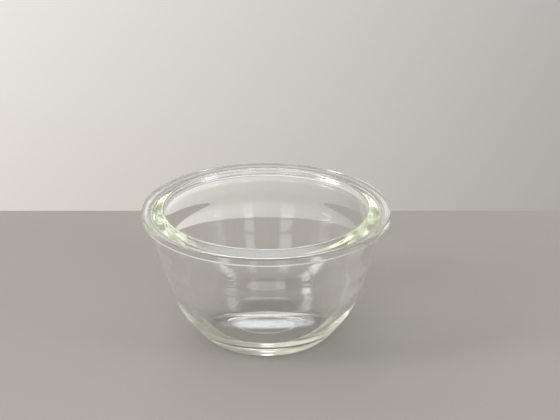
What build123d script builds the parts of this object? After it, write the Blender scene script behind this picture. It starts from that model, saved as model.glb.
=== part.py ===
from build123d import *
from math import sqrt
import os

# Mixing bowl: one pressed piece of clear heat-resistant glass with a flanged rim.
# Frame: +Z up along the axis of revolution, origin at the centre of the plane it stands on.
# All sizes in millimetres. Every profile point is (radius, height).

os.makedirs("parts", exist_ok=True)

# Overall
rim_diameter = 185.0
height = 100.0

# Flanged rim
rim_r = rim_diameter / 2
flange_t = 6.3            # thickness at the outer edge
flange_fall = 1.0         # fall of the top face from the land to the outer edge
edge_top_z = height - flange_fall
flange_under_z = edge_top_z - flange_t
underside_r = 86.2        # where the flat underside meets the sweep into the wall
edge_top_r = 1.2          # rounding of the outer edge, above
edge_low_r = 2.0          # rounding of the outer edge, below
land_w = 2.0              # flat land beside the lip, where a cover rests
lip_r = 1.6               # rounding of the inner lip
bore_r = 75.4             # inside radius just below the lip

# Floor, inside
floor_r = 22.4            # round middle, with a soft edge where the rise begins
floor_z = 6.2             # height at the edge of that middle
floor_dish = 0.2          # its centre lies this much lower
floor_centre = (0, floor_z - floor_dish)
floor_edge = (floor_r, floor_z)

# Underside: foot ring, step up inside it, and a shallow round recess in the middle
foot_in_r = 33.0
foot_out_r = 45.2
step_r = 28.0             # the step up runs from foot_in_r in to this radius
step_z = 0.7
disc_r = 23.0             # radius of the round recess
disc_slope_w = 2.4        # width of the slope round it
disc_z = 0.95             # height of its ceiling at disc_r
disc_dish = floor_dish    # its ceiling bows down, parallel with the floor above
disc_centre = (0, disc_z - disc_dish)
disc_edge = (disc_r, disc_z)

# Outside of the wall (radius, height), from the foot up to just under the flange
wall_outside = [
    (47.7, 1.0), (50.1, 3.0), (52.7, 5.6), (55.4, 8.9),
    (58.8, 13.3), (62.6, 18.5), (66.2, 24.6), (69.5, 31.3),
    (72.4, 38.7), (75.0, 46.9), (77.7, 55.6), (80.2, 63.6),
    (81.8, 70.0), (82.3, 79.0), (82.7, 85.8), (83.4, 90.2),
]

# Inside of the wall (radius, height), from the floor up to the lip;
# it stands almost straight above a height of 70
wall_inside = [
    (24.4, 6.33), (28.0, 6.75), (34.0, 7.6), (40.0, 8.7), (46.0, 10.6),
    (51.6, 13.9), (58.2, 21.2), (65.2, 33.2), (68.9, 44.4), (70.7, 53.3),
    (72.9, 62.2), (74.1, 69.6), (74.5, 74.7), (75.0, 80.0), (75.3, 87.3),
]
spans_per_spline = 3      # point-to-point spans in each short spline of a wall


def dish_midpoint(edge_r, edge_z, dish):
    """Point at half the radius on an arc whose centre lies `dish` below its edge."""
    arc_r = (edge_r**2 + dish**2) / (2 * dish)
    return edge_r / 2, edge_z - dish + arc_r - sqrt(arc_r**2 - (edge_r / 2) ** 2)


def smooth_run(points, first, last):
    """Draw one smooth curve through the points as short splines that share their tangents.

    `first` and `last` are the end directions. At each join between splines the
    direction is the chord between the neighbouring points.
    """
    final = len(points) - 1
    joins = list(range(0, final, spans_per_spline)) + [final]
    directions = [first]
    for k in joins[1:-1]:
        (r0, z0), (r1, z1) = points[k - 1], points[k + 1]
        directions.append((r1 - r0, z1 - z0))
    directions.append(last)
    for i in range(len(joins) - 1):
        Spline(*points[joins[i] : joins[i + 1] + 1], tangents=directions[i : i + 2])


# The half section is drawn counter-clockwise from the axis, then revolved
with BuildPart() as bowl:
    with BuildSketch(Plane.XZ):
        with BuildLine():
            # Down the axis, then along the underside to the outside of the foot
            Line(floor_centre, disc_centre)
            ThreePointArc(disc_centre, dish_midpoint(disc_r, disc_z, disc_dish), disc_edge)
            Polyline(disc_edge, (disc_r + disc_slope_w, step_z), (step_r, step_z))
            Spline(
                (step_r, step_z),
                ((step_r + foot_in_r) / 2, step_z / 2),
                (foot_in_r, 0),
                tangents=[(1, 0), (1, 0)],
            )
            Line((foot_in_r, 0), (foot_out_r, 0))

            # Outside of the wall and the sweep out under the flange
            smooth_run(
                [(foot_out_r, 0)] + wall_outside + [(underside_r, flange_under_z)],
                first=(1, 0),
                last=(1, 0),
            )

            # Underside and outer edge of the flange
            low_start = (rim_r - edge_low_r, flange_under_z)
            low_end = (rim_r, flange_under_z + edge_low_r)
            top_start = (rim_r, edge_top_z - edge_top_r)
            top_end = (rim_r - edge_top_r, edge_top_z)
            Line((underside_r, flange_under_z), low_start)
            RadiusArc(low_start, low_end, -edge_low_r)
            Line(low_end, top_start)
            RadiusArc(top_start, top_end, -edge_top_r)

            # Top of the flange, the land and the inner lip
            lip_top = (bore_r + lip_r, height)
            lip_low = (bore_r, height - lip_r)
            Polyline(top_end, (bore_r + lip_r + land_w, height), lip_top)
            RadiusArc(lip_top, lip_low, -lip_r)

            # Inside of the wall, down to the dished floor and back to the axis
            smooth_run(
                [lip_low] + wall_inside[::-1] + [floor_edge],
                first=(0, -1),
                last=(-floor_r, -2 * floor_dish),
            )
            ThreePointArc(floor_edge, dish_midpoint(floor_r, floor_z, floor_dish), floor_centre)
        make_face()
    revolve(axis=Axis.Z)

bowl.part.label = "bowl"
export_step(bowl.part, "parts/bowl.step")
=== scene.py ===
"""A clear pressed-glass bowl with a wide flanged rim, standing on a pale table top.

The bowl is turned about the Z axis and its foot rests at z = 0. The camera looks along +Y and
down, so -Y is the front and +X is on the right. The glass section is given in millimetres;
everything else is in metres.
"""

import math

import bmesh
import bpy
import numpy as np
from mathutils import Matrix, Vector


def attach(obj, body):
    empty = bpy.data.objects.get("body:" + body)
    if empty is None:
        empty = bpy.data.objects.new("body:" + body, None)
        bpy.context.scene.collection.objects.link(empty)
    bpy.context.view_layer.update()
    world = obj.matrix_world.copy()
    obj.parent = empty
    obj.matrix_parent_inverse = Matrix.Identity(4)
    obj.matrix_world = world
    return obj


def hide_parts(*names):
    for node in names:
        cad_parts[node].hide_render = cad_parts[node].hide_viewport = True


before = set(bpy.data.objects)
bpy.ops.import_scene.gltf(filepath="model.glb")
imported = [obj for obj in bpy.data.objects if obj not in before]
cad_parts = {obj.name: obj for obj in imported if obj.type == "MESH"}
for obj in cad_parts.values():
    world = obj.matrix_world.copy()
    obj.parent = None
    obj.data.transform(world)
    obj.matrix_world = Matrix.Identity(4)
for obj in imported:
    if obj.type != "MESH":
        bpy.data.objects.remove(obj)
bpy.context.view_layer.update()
scene = bpy.context.scene
MM = 0.001

# ---------------------------------------------------------------------------
# Glass section: sizes in millimetres
# ---------------------------------------------------------------------------
HEIGHT = 100.0
RIM_R = 92.5  # outer edge of the flange
FLANGE_T = 6.3
FLANGE_FALL = 1.0  # drop of the flange top from its flat land to its outer edge
LAND_W = 2.0  # flat ring beside the inner lip
EDGE_TOP_R, EDGE_LOW_R, LIP_R = 1.2, 2.0, 1.6  # rounded edges of the flange
BORE_R = 75.4  # opening at the lip
UNDERSIDE_R = 86.2  # where the wall meets the underside of the flange
TOP_EDGE_Z = HEIGHT - FLANGE_FALL
UNDER_Z = TOP_EDGE_Z - FLANGE_T
LIP_Z = HEIGHT - LIP_R  # lower end of the lip rounding

FOOT_IN, FOOT_OUT = 33.0, 45.2  # flat ring the bowl stands on
RECESS_R, RECESS_Z = 28.0, 0.7  # recess under the base
DISC_R, DISC_Z, DISC_DISH = 23.0, 0.95, 0.2  # disc in the middle of the recess
DISC_FOOT_R = DISC_R + 2.4  # outer end of the step round the disc
FLOOR_R, FLOOR_Z, FLOOR_DISH = 22.4, 6.2, 0.2  # inside floor

# Both walls from the bottom up: (radius, height)
WALL_OUTSIDE = [
    (47.7, 1.0), (50.1, 3.0), (52.7, 5.6), (55.4, 8.9), (58.8, 13.3), (62.6, 18.5),
    (66.2, 24.6), (69.5, 31.3), (72.4, 38.7), (75.0, 46.9), (77.7, 55.6), (80.2, 63.6),
    (81.8, 70.0), (82.3, 79.0), (82.7, 85.8), (83.4, 90.2),
]
WALL_INSIDE = [
    (24.4, 6.33), (28.0, 6.75), (34.0, 7.6), (40.0, 8.7), (46.0, 10.6), (51.6, 13.9),
    (58.2, 21.2), (65.2, 33.2), (68.9, 44.4), (70.7, 53.3), (72.9, 62.2), (74.1, 69.6),
    (74.5, 74.7), (75.0, 80.0), (75.3, 87.3),
]

SEGMENTS = 288  # steps round the axis
SPLINE_STEP = 1.25  # longest step along a wall
MIN_GAP = 0.02  # section points closer than this are merged
AXIS_R = 1e-6  # a point nearer the axis than this lies on it


# ---------------------------------------------------------------------------
# Curves: each returns rows of (radius, height)
# ---------------------------------------------------------------------------
def travelled(points):
    """Length run along the points, from zero."""
    return np.concatenate([[0.0], np.cumsum(np.hypot(*np.diff(points, axis=0).T))])


def smooth_step(x):
    return x * x * (3 - 2 * x)


def clamped_spline(points, first, last, step=SPLINE_STEP):
    """A C2 cubic through the points, by chord length, with the end directions given."""
    points = np.array(points, float)
    count = len(points)
    chord = np.diff(travelled(points))
    matrix = np.zeros((count, count))
    target = np.zeros((count, 2))
    for end, direction in ((0, first), (-1, last)):
        matrix[end, end] = 1.0
        target[end] = np.array(direction, float) / np.hypot(*direction)
    for i in range(1, count - 1):
        before, after = chord[i - 1], chord[i]
        matrix[i, i - 1:i + 2] = after, 2 * (after + before), before
        slope_before = after * (points[i] - points[i - 1]) / before
        slope_after = before * (points[i + 1] - points[i]) / after
        target[i] = 3 * (slope_before + slope_after)
    tangents = np.linalg.solve(matrix, target)
    pieces = []
    for i in range(count - 1):
        steps = max(3, int(math.ceil(chord[i] / step)))
        s = np.linspace(0, 1, steps, endpoint=False)[:, None]
        pieces.append(
            (2 * s**3 - 3 * s**2 + 1) * points[i]
            + (s**3 - 2 * s**2 + s) * chord[i] * tangents[i]
            + (-2 * s**3 + 3 * s**2) * points[i + 1]
            + (s**3 - s**2) * chord[i] * tangents[i + 1]
        )
    pieces.append(points[-1:])
    return np.vstack(pieces)


def eased(curve, low, high, rounds=60, fade_low=8.0, fade_high=6.0, shrink=0.50, grow=-0.515):
    """Takes short ripple out of a wall between two heights; grow undoes the shrinking."""
    result = curve.copy()
    z = curve[:, 1]
    weight = np.clip((z - low) / fade_low, 0, 1) * np.clip((high - z) / fade_high, 0, 1)
    weight = smooth_step(weight)[1:-1, None]
    for _ in range(rounds):
        for factor in (shrink, grow):
            middle = 0.5 * (result[:-2] + result[2:])
            result[1:-1] += weight * factor * (middle - result[1:-1])
    return result


def arc(centre, radius, start, end, count=15):
    """An arc between two angles in degrees."""
    angles = np.radians(np.linspace(start, end, count))
    return np.c_[centre[0] + radius * np.cos(angles), centre[1] + radius * np.sin(angles)]


def line(start, end, count):
    s = np.linspace(0, 1, count)[:, None]
    return np.array(start, float) * (1 - s) + np.array(end, float) * s


def soft_step(start, end, count):
    """A change of height that is flat at both ends, as a pressed edge is."""
    s = np.linspace(0, 1, count)
    return np.c_[
        start[0] + (end[0] - start[0]) * s,
        start[1] + (end[1] - start[1]) * smooth_step(s),
    ]


def dished_disc(radius, edge_z, depth, count=14):
    """A shallow parabola from the axis out to its edge, lowest at the axis."""
    s = np.linspace(0, 1, count)
    return np.c_[radius * s, edge_z - depth * (1 - s**2)]


def glass_section():
    """One open run from the axis underneath, out over the rim, to the axis on the floor."""
    outer_wall = clamped_spline(
        [(FOOT_OUT, 0), *WALL_OUTSIDE, (UNDERSIDE_R, UNDER_Z)], first=(1, 0), last=(1, 0)
    )
    inner_wall = clamped_spline(
        [(BORE_R, LIP_Z), *WALL_INSIDE[::-1], (FLOOR_R, FLOOR_Z)],
        first=(0, -1),
        last=(-FLOOR_R, -2 * FLOOR_DISH),
    )
    land_in = BORE_R + LIP_R
    land_out = land_in + LAND_W
    low_edge = (RIM_R - EDGE_LOW_R, UNDER_Z + EDGE_LOW_R)
    top_edge = (RIM_R - EDGE_TOP_R, TOP_EDGE_Z - EDGE_TOP_R)
    points = np.vstack([
        # underside
        dished_disc(DISC_R, DISC_Z, DISC_DISH),
        soft_step((DISC_R, DISC_Z), (DISC_FOOT_R, RECESS_Z), count=10),
        line((DISC_FOOT_R, RECESS_Z), (RECESS_R, RECESS_Z), count=5),
        soft_step((RECESS_R, RECESS_Z), (FOOT_IN, 0.0), count=12),
        line((FOOT_IN, 0), (FOOT_OUT, 0), count=9),
        eased(outer_wall, low=6.0, high=90.0),
        # flange
        line((UNDERSIDE_R, UNDER_Z), (low_edge[0], UNDER_Z), count=4),
        arc(low_edge, EDGE_LOW_R, -90, 0),
        line((RIM_R, low_edge[1]), (RIM_R, top_edge[1]), count=6),
        arc(top_edge, EDGE_TOP_R, 0, 90),
        line((top_edge[0], TOP_EDGE_Z), (land_out, HEIGHT), count=12),
        line((land_out, HEIGHT), (land_in, HEIGHT), count=5),
        arc((land_in, LIP_Z), LIP_R, 90, 180),
        # inside
        eased(inner_wall, low=10.0, high=96.0),
        dished_disc(FLOOR_R, FLOOR_Z, FLOOR_DISH)[::-1],
    ])
    keep = [0]
    for i in range(1, len(points)):
        if np.hypot(*(points[i] - points[keep[-1]])) > MIN_GAP:
            keep.append(i)
    return points[keep]


# ---------------------------------------------------------------------------
# Pressed glass is never optically true: slow waves over the walls and rim
# ---------------------------------------------------------------------------
def undulation(seed, count, turns, rises):
    """A fixed sum of waves in angle and height, about -1..1.

    turns is the range of whole waves round the axis, rises of waves per 100 mm of height.
    """
    sway, sway_length, rise_length = 0.6, 55.0, 100.0  # radians, mm, mm
    random = np.random.default_rng(seed)
    waves = []
    for _ in range(count):
        turn = int(random.integers(turns[0], turns[1] + 1))
        rise = random.uniform(rises[0], rises[1])
        phase = random.uniform(0, 2 * math.pi)
        rise_phase = random.uniform(0, 2 * math.pi)
        weight = random.uniform(0.4, 1.0) / (1 + 0.06 * turn)
        waves.append((turn, rise, phase, rise_phase, weight))
    norm = 0.5 * sum(wave[-1] for wave in waves)

    def value(angle, z):
        total = 0.0
        for turn, rise, phase, rise_phase, weight in waves:
            drift = sway * np.sin(2 * math.pi * z / sway_length + rise_phase)
            around = np.cos(turn * angle + phase + drift)
            total = total + weight * around * np.cos(
                2 * math.pi * z * rise / rise_length + rise_phase
            )
        return total / norm

    return value


inner_wave = undulation(seed=5, count=12, turns=(3, 14), rises=(0.15, 0.9))
outer_wave = undulation(seed=17, count=12, turns=(2, 12), rises=(0.15, 0.8))
rim_wave = undulation(seed=29, count=8, turns=(2, 9), rises=(0.0, 0.3))
INNER_DEPTH, OUTER_DEPTH, RIM_DEPTH = 0.009, 0.007, 0.008  # mm
RIM_EDGE_SHARE = 0.4  # part of the rim wave left at the outer edge


def clamp(x):
    return min(1.0, max(0.0, x))


def surface_shift(r, z, past_rim, before_rim, angles):
    """How far the surface moves along its normal at each angle, in mm."""
    if z > UNDER_Z - 0.5 and r > BORE_R - 0.5:
        share = RIM_EDGE_SHARE if r > RIM_R - 1 else 1.0
        return RIM_DEPTH * share * rim_wave(angles, z)
    if past_rim and r < BORE_R + 0.5 and z < LIP_Z + 1:
        share = clamp((LIP_Z - z) / 12.0) * clamp(r / 20.0)
        return INNER_DEPTH * share * inner_wave(angles, z)
    if before_rim and r > FOOT_OUT + 1.0:
        share = clamp((UNDER_Z - z) / 10.0) * clamp(z / 4.0)
        return OUTER_DEPTH * share * outer_wave(angles, z)
    return np.zeros(SEGMENTS)


# ---------------------------------------------------------------------------
# Bowl mesh
# ---------------------------------------------------------------------------
def turned_vertices(section):
    """Vertices in metres, and for each section point its ring of vertex numbers."""
    angles = np.arange(SEGMENTS) * 2 * math.pi / SEGMENTS
    along = np.gradient(section, axis=0)
    along /= np.maximum(np.hypot(*along.T), 1e-9)[:, None]
    normals = np.c_[along[:, 1], -along[:, 0]]
    widest = int(np.argmax(section[:, 0]))
    verts, rings = [], []
    for i, (r, z) in enumerate(section):
        if r < AXIS_R:
            rings.append([len(verts)])
            verts.append((0.0, 0.0, z * MM))
            continue
        shift = surface_shift(r, z, i > widest, i < widest, angles)
        radii = r + normals[i, 0] * shift
        heights = z + normals[i, 1] * shift
        rings.append(list(range(len(verts), len(verts) + SEGMENTS)))
        for angle, radius, height in zip(angles, radii, heights):
            verts.append(
                (radius * math.cos(angle) * MM, radius * math.sin(angle) * MM, height * MM)
            )
    return verts, rings


def ring_faces(rings):
    """Quads between neighbouring rings, triangles where a ring is a point on the axis."""
    faces = []
    for a, b in zip(rings, rings[1:]):
        for k in range(SEGMENTS):
            following = (k + 1) % SEGMENTS
            if len(a) == 1:
                faces.append((a[0], b[following], b[k]))
            elif len(b) == 1:
                faces.append((a[k], a[following], b[0]))
            else:
                faces.append((a[k], a[following], b[following], b[k]))
    return faces


def unroll(bm, section, rings):
    """UV map: u round the axis, v along the section."""
    run = travelled(section)
    run /= run[-1]
    place = {}  # vertex number: (ring, step round the axis or None on the axis)
    for i, ring in enumerate(rings):
        for k, vertex in enumerate(ring):
            place[vertex] = (i, k if len(ring) > 1 else None)
    uv = bm.loops.layers.uv.new("unrolled")
    half = SEGMENTS / 2
    for face in bm.faces:
        places = [place[loop.vert.index] for loop in face.loops]
        steps = [step for _, step in places if step is not None]
        wraps = max(steps) - min(steps) > half

        def unwrapped(step):
            return step + SEGMENTS if wraps and step < half else step

        middle = sum(unwrapped(step) for step in steps) / len(steps)
        for loop, (i, step) in zip(face.loops, places):
            u = middle if step is None else unwrapped(step)
            loop[uv].uv = (u / SEGMENTS, run[i])


def turned_bowl(name):
    section = glass_section()
    verts, rings = turned_vertices(section)
    mesh = bpy.data.meshes.new(name)
    mesh.from_pydata(verts, [], ring_faces(rings))
    mesh.update()
    bm = bmesh.new()
    bm.from_mesh(mesh)
    bmesh.ops.recalc_face_normals(bm, faces=bm.faces)
    # the glass volume needs its normals outward
    if bm.calc_volume(signed=True) < 0:
        bmesh.ops.reverse_faces(bm, faces=bm.faces)
    unroll(bm, section, rings)
    for face in bm.faces:
        face.smooth = True
    bm.to_mesh(mesh)
    bm.free()
    mesh.update()
    obj = bpy.data.objects.new(name, mesh)
    scene.collection.objects.link(obj)
    return obj


bowl = turned_bowl("bowl_glass_body")
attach(bowl, "root")
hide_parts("bowl")


# ---------------------------------------------------------------------------
# Shader node helpers
# ---------------------------------------------------------------------------
def feed(tree, node, sockets):
    """Fills a node's inputs: a socket is linked, anything else is set as the value."""
    for key, value in sockets.items():
        if isinstance(value, bpy.types.NodeSocket):
            tree.links.new(value, node.inputs[key])
        else:
            node.inputs[key].default_value = value


def add(tree, kind, sockets=None, **properties):
    node = tree.nodes.new(kind)
    for key, value in properties.items():
        setattr(node, key, value)
    feed(tree, node, sockets or {})
    return node


def coordinates(tree, kind):
    return add(tree, "ShaderNodeTexCoord").outputs[kind]


def split(tree, vector):
    return add(tree, "ShaderNodeSeparateXYZ", {0: vector}).outputs


def calculate(tree, operation, first, second):
    return add(tree, "ShaderNodeMath", {0: first, 1: second}, operation=operation).outputs[0]


def map_range(tree, value, source, target, smooth=False):
    sockets = {
        "Value": value,
        "From Min": source[0], "From Max": source[1],
        "To Min": target[0], "To Max": target[1],
    }
    kind = "SMOOTHSTEP" if smooth else "LINEAR"
    return add(tree, "ShaderNodeMapRange", sockets, interpolation_type=kind).outputs["Result"]


def noise(tree, vector, scale, detail):
    sockets = {"Vector": vector, "Scale": scale, "Detail": detail}
    return add(tree, "ShaderNodeTexNoise", sockets).outputs["Fac"]


def new_material(name):
    material = bpy.data.materials.new(name)
    material.use_nodes = True
    return material, material.node_tree


# ---------------------------------------------------------------------------
# Materials
# ---------------------------------------------------------------------------
def glass_material():
    material, tree = new_material("clear_pressed_glass")
    position = coordinates(tree, "Object")
    # a slow haze, as a washed and dried bowl keeps
    haze = map_range(
        tree, noise(tree, position, scale=34.0, detail=5.0),
        source=(0.45, 0.80), target=(0.0, 0.028),
    )
    # the flange is less clear than the wall: it is where hands and covers rub
    rub = map_range(
        tree, split(tree, position)["Z"],
        source=((UNDER_Z - 1.5) * MM, (UNDER_Z + 1.5) * MM), target=(0.0, 0.10), smooth=True,
    )
    # orange-peel of the pressed surface
    peel = add(tree, "ShaderNodeBump", {
        "Strength": 0.02,
        "Distance": 0.00006,
        "Height": noise(tree, position, scale=60.0, detail=2.0),
    })
    # a faint yellow-green builds up with the depth of glass looked through
    absorption = add(tree, "ShaderNodeVolumeAbsorption", {
        "Color": (0.86, 0.89, 0.765, 1),
        "Density": 7.0,
    })
    feed(tree, tree.nodes["Principled BSDF"], {
        "Base Color": (0.995, 1.0, 0.995, 1),
        "Transmission Weight": 1.0,
        "IOR": 1.475,
        "Roughness": calculate(tree, "ADD", haze, rub),
        "Normal": peel.outputs["Normal"],
    })
    feed(tree, tree.nodes["Material Output"], {"Volume": absorption.outputs["Volume"]})
    return material


def table_material(colour=(0.465, 0.44, 0.412), spread=0.04):
    """Matt paint whose brightness drifts by up to the spread either way."""
    material, tree = new_material("pale_table_paint")
    drift = map_range(
        tree, noise(tree, coordinates(tree, "Object"), scale=7.0, detail=6.0),
        source=(0.0, 1.0), target=(1 - spread, 1 + spread),
    )
    paint = add(tree, "ShaderNodeVectorMath", {0: colour, "Scale": drift}, operation="SCALE")
    feed(tree, tree.nodes["Principled BSDF"], {
        "Base Color": paint.outputs["Vector"],
        "Roughness": 0.62,
        "Specular IOR Level": 0.2,
    })
    return material


bowl.data.materials.append(glass_material())


# ---------------------------------------------------------------------------
# Table top: its far edge lies behind the bowl, its top just under the foot
# ---------------------------------------------------------------------------
TABLE_LOW = (-2.2, -2.4, -0.04)
TABLE_HIGH = (2.2, 0.232, -0.00012)
TABLE_BEVEL = 0.0015


def table_top(name, low, high, bevel, material):
    mesh = bpy.data.meshes.new(name)
    bm = bmesh.new()
    bmesh.ops.create_cube(bm, size=1.0)
    for vert in bm.verts:
        vert.co = Vector([low[i] + (vert.co[i] + 0.5) * (high[i] - low[i]) for i in range(3)])
    bmesh.ops.bevel(
        bm, geom=bm.edges[:], offset=bevel, segments=4, profile=0.5, affect="EDGES"
    )
    bm.to_mesh(mesh)
    bm.free()
    obj = bpy.data.objects.new(name, mesh)
    scene.collection.objects.link(obj)
    mesh.materials.append(material)


table_top("table_top", TABLE_LOW, TABLE_HIGH, TABLE_BEVEL, table_material())

# ---------------------------------------------------------------------------
# Light: soft panels with faded edges, all facing the bowl and hidden from the camera
# ---------------------------------------------------------------------------
BOWL_CENTRE = Vector((0.0, 0.0, 0.05))
COOL, NEUTRAL = (0.93, 0.95, 1.0), (1.0, 0.99, 0.97)

# name, (azimuth, elevation, distance) from the bowl, width, height, strength, colour,
# share of the panel over which each edge fades, seen in reflections only
PANELS = [
    ("panel_back_low", (181, 25.5, 2.2), 0.34, 0.44, 4.2, COOL, 0.25, False),
    ("panel_back_high", (182, 37.4, 2.2), 0.62, 0.32, 3.4, COOL, 0.15, True),
    ("panel_top", (180, 80, 2.4), 1.4, 1.9, 3.4, NEUTRAL, 0.12, True),
    ("panel_left", (-72, 30, 1.9), 0.70, 1.9, 6.5, NEUTRAL, 0.35, False),
    ("panel_right", (62, 28, 1.9), 0.70, 1.4, 4.5, COOL, 0.35, False),
    ("window_left", (-24, 20, 2.0), 0.70, 1.8, 2.6, COOL, 0.25, False),
    ("window_right", (21, 20, 2.0), 0.50, 1.8, 2.5, COOL, 0.25, False),
    ("panel_above", (0, 84, 2.4), 2.4, 2.4, 0.55, NEUTRAL, 0.45, False),
]


def seen_from_bowl(azimuth, elevation, distance):
    """A place in metres: azimuth 0 is to the front (-Y), positive to the right (+X)."""
    turn, tilt = math.radians(azimuth), math.radians(elevation)
    return (
        distance * math.sin(turn) * math.cos(tilt),
        -distance * math.cos(turn) * math.cos(tilt),
        BOWL_CENTRE.z + distance * math.sin(tilt),
    )


def panel_material(name, strength, colour, fade):
    """Light from the front face only, clear where it fades so it has no dark border."""
    material, tree = new_material(name)
    tree.nodes.clear()
    uv = split(tree, coordinates(tree, "UV"))
    fades = []
    for axis in "XY":
        from_far_edge = calculate(tree, "SUBTRACT", 1.0, uv[axis])
        from_edge = calculate(tree, "MINIMUM", uv[axis], from_far_edge)
        fades.append(map_range(tree, from_edge, (0.0, fade), (0.0, 1.0), smooth=True))
    cover = calculate(tree, "MULTIPLY", *fades)
    light = calculate(tree, "MULTIPLY", cover, strength)
    backfacing = add(tree, "ShaderNodeNewGeometry").outputs["Backfacing"]
    front = calculate(tree, "SUBTRACT", 1.0, backfacing)
    emission = add(tree, "ShaderNodeEmission", {
        "Color": (*colour, 1),
        "Strength": calculate(tree, "MULTIPLY", light, front),
    })
    clear = add(tree, "ShaderNodeBsdfTransparent", {
        "Color": calculate(tree, "SUBTRACT", 1.0, cover),
    })
    both = add(tree, "ShaderNodeAddShader", {0: emission.outputs[0], 1: clear.outputs[0]})
    add(tree, "ShaderNodeOutputMaterial", {"Surface": both.outputs[0]})
    return material


def light_panel(name, place, width, height, strength, colour, fade, reflections_only):
    corners = [(0, 0), (1, 0), (1, 1), (0, 1)]
    mesh = bpy.data.meshes.new(name)
    verts = [((u - 0.5) * width, (v - 0.5) * height, 0) for u, v in corners]
    mesh.from_pydata(verts, [], [(0, 1, 2, 3)])
    uv = mesh.uv_layers.new(name="uv")
    for i, corner in enumerate(corners):
        uv.data[i].uv = corner
    mesh.update()
    mesh.materials.append(panel_material(name, strength, colour, fade))
    obj = bpy.data.objects.new(name, mesh)
    obj.location = seen_from_bowl(*place)
    obj.rotation_mode = "QUATERNION"
    facing = BOWL_CENTRE - Vector(seen_from_bowl(*place))
    obj.rotation_quaternion = facing.to_track_quat("Z", "Y")
    scene.collection.objects.link(obj)
    obj.visible_camera = False
    if reflections_only:
        obj.visible_transmission = False
        obj.visible_diffuse = False


for panel in PANELS:
    light_panel(*panel)


# ---------------------------------------------------------------------------
# World: a plain studio backdrop
# ---------------------------------------------------------------------------
def studio_world():
    world = bpy.data.worlds.new("studio")
    scene.world = world
    world.use_nodes = True
    tree = world.node_tree
    direction = split(tree, coordinates(tree, "Generated"))
    # behind the bowl it falls from left to right; elsewhere it is even
    side = map_range(tree, direction["X"], source=(-0.26, 0.19), target=(0.90, 0.41))
    behind = map_range(
        tree, direction["Y"], source=(-0.2, 0.4), target=(0.0, 1.0), smooth=True
    )
    level = add(
        tree, "ShaderNodeMix", {"Factor": behind, "A": 0.50, "B": side}, data_type="FLOAT"
    )
    # brighter and less yellow higher up
    rise = map_range(tree, direction["Z"], source=(-0.40, -0.25), target=(0.90, 1.10))
    upward = map_range(tree, direction["Z"], source=(-0.40, -0.28), target=(0.0, 1.0))
    # sockets 0, 6 and 7 are the factor and the two colours, output 2 the mixed colour
    tint = add(tree, "ShaderNodeMix", {
        0: upward,
        6: (1.0, 0.955, 0.865, 1),
        7: (1.0, 0.965, 0.925, 1),
    }, data_type="RGBA")
    feed(tree, tree.nodes["Background"], {
        "Color": tint.outputs[2],
        "Strength": calculate(tree, "MULTIPLY", level.outputs[0], rise),
    })


studio_world()

# ---------------------------------------------------------------------------
# Camera: in front of the bowl, looking down on it
# ---------------------------------------------------------------------------
CAMERA_DISTANCE = 1.3875
CAMERA_PITCH = math.radians(22.77)  # below the horizontal
CAMERA_AIM = Vector((0.0, 0.0, 0.0993))
CAMERA_RIGHT, CAMERA_DOWN = 0.010212, 0.001702  # sideways shifts off the line to the aim
SENSOR_WIDTH, FOCAL_LENGTH = 36.0, 120.535714  # mm


def place_camera():
    forward = Vector((0.0, math.cos(CAMERA_PITCH), -math.sin(CAMERA_PITCH)))
    right = Vector((1, 0, 0))
    up = Vector((0.0, math.sin(CAMERA_PITCH), math.cos(CAMERA_PITCH)))
    camera = bpy.data.cameras.new("camera")
    camera.sensor_fit = "HORIZONTAL"
    camera.sensor_width = SENSOR_WIDTH
    camera.lens = FOCAL_LENGTH
    camera.clip_start = 0.05
    camera.clip_end = 20.0
    obj = bpy.data.objects.new("camera", camera)
    obj.location = (
        CAMERA_AIM - CAMERA_DISTANCE * forward + CAMERA_RIGHT * right - CAMERA_DOWN * up
    )
    obj.rotation_euler = (math.pi / 2 - CAMERA_PITCH, 0.0, 0.0)
    scene.collection.objects.link(obj)
    scene.camera = obj


place_camera()

# light crosses many glass surfaces before it leaves the bowl
scene.view_settings.view_transform = "Standard"
scene.cycles.max_bounces = 96
scene.cycles.transmission_bounces = 96
scene.cycles.glossy_bounces = 64
scene.cycles.transparent_max_bounces = 16
